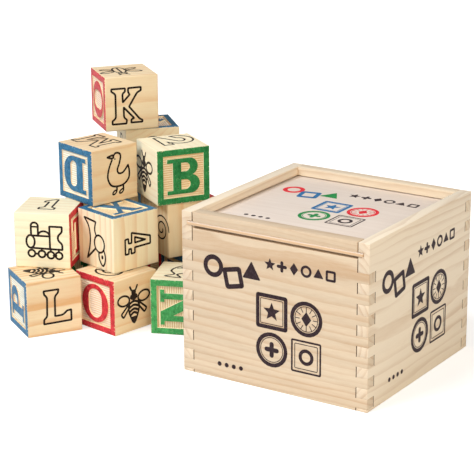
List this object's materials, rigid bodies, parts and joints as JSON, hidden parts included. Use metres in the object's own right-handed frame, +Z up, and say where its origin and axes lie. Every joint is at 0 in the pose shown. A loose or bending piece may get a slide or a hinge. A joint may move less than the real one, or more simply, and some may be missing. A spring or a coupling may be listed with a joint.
{
  "type": "alphabet block set with sliding-lid box",
  "caption": "Wooden alphabet blocks with carved and printed faces, stacked in a pile beside their finger-jointed box with a sliding lid.",
  "frame": {"origin": "middle of the box's underside, on the surface that it stands on", "axes": "+X along the box's front to the right, +Y from front to back, +Z up"},
  "size_m": [0.2373, 0.1373, 0.1201],
  "materials": {
    "box_pine": "bare sanded pine",
    "plywood": "pale lacquered plywood",
    "block_wood": "satin wood with painted carved faces"
  },
  "bodies": {
    "box": {"front_wall": "box_pine", "back_wall": "box_pine", "left_wall": "box_pine", "right_wall": "box_pine", "bottom_panel": "plywood"},
    "lid": {"lid_panel": "plywood", "lid_rail": "box_pine"},
    "block_l": {"block_l": "block_wood"},
    "block_bee": {"block_bee": "block_wood"},
    "block_n": {"block_n": "block_wood"},
    "base_block_left": {"base_block_left": "block_wood"},
    "block_train": {"block_train": "block_wood"},
    "base_block_right": {"base_block_right": "block_wood"},
    "base_block_middle": {"base_block_middle": "block_wood"},
    "base_block_back": {"base_block_back": "block_wood"},
    "block_four": {"block_four": "block_wood"},
    "block_goose": {"block_goose": "block_wood"},
    "block_red": {"block_red": "block_wood"},
    "block_b": {"block_b": "block_wood"},
    "inner_block_front": {"inner_block_front": "block_wood"},
    "inner_block_back": {"inner_block_back": "block_wood"},
    "block_blue": {"block_blue": "block_wood"},
    "block_k": {"block_k": "block_wood"}
  },
  "joints": [
    {"name": "lid_slide", "type": "slide", "parent": "box", "child": "lid", "axis": [0, -1, 0], "range_m": [0, 0.1]},
    {"name": "block_l_slide", "type": "slide", "parent": "box", "child": "block_l", "axis": [-0.5, -0.866, 0], "range_m": [0, 0.045]},
    {"name": "block_bee_lift", "type": "slide", "parent": "box", "child": "block_bee", "axis": [0, 0, 1], "range_m": [0, 0.045]},
    {"name": "block_n_lift", "type": "slide", "parent": "box", "child": "block_n", "axis": [0, 0, 1], "range_m": [0, 0.045]},
    {"name": "base_block_left_slide", "type": "slide", "parent": "box", "child": "base_block_left", "axis": [-0.9962, -0.0872, 0], "range_m": [0, 0.045]},
    {"name": "block_train_slide", "type": "slide", "parent": "box", "child": "block_train", "axis": [-0.8192, -0.5736, 0], "range_m": [0, 0.045]},
    {"name": "base_block_right_slide", "type": "slide", "parent": "box", "child": "base_block_right", "axis": [0.5, 0.866, 0], "range_m": [0, 0.045]},
    {"name": "base_block_middle_slide", "type": "slide", "parent": "box", "child": "base_block_middle", "axis": [-0.9397, 0.342, 0], "range_m": [0, 0.045]},
    {"name": "base_block_back_slide", "type": "slide", "parent": "box", "child": "base_block_back", "axis": [-0.342, 0.9397, 0], "range_m": [0, 0.045]},
    {"name": "block_four_slide", "type": "slide", "parent": "block_bee", "child": "block_four", "axis": [0.8192, -0.5736, 0], "range_m": [0, 0.045]},
    {"name": "block_goose_slide", "type": "slide", "parent": "block_four", "child": "block_goose", "axis": [-0.5736, -0.8192, 0], "range_m": [0, 0.045]},
    {"name": "block_red_slide", "type": "slide", "parent": "base_block_right", "child": "block_red", "axis": [0.866, 0.5, 0], "range_m": [0, 0.045]},
    {"name": "block_b_lift", "type": "slide", "parent": "block_red", "child": "block_b", "axis": [0, 0, 1], "range_m": [0, 0.045]},
    {"name": "inner_block_front_slide", "type": "slide", "parent": "box", "child": "inner_block_front", "axis": [-1, 0, 0], "range_m": [0, 0.045]},
    {"name": "inner_block_back_slide", "type": "slide", "parent": "base_block_back", "child": "inner_block_back", "axis": [-0.342, 0.9397, 0], "range_m": [0, 0.045]},
    {"name": "block_blue_slide", "type": "slide", "parent": "inner_block_back", "child": "block_blue", "axis": [-0.342, 0.9397, 0], "range_m": [0, 0.045]},
    {"name": "block_k_lift", "type": "slide", "parent": "block_blue", "child": "block_k", "axis": [0, 0, 1], "range_m": [0, 0.045]}
  ]
}
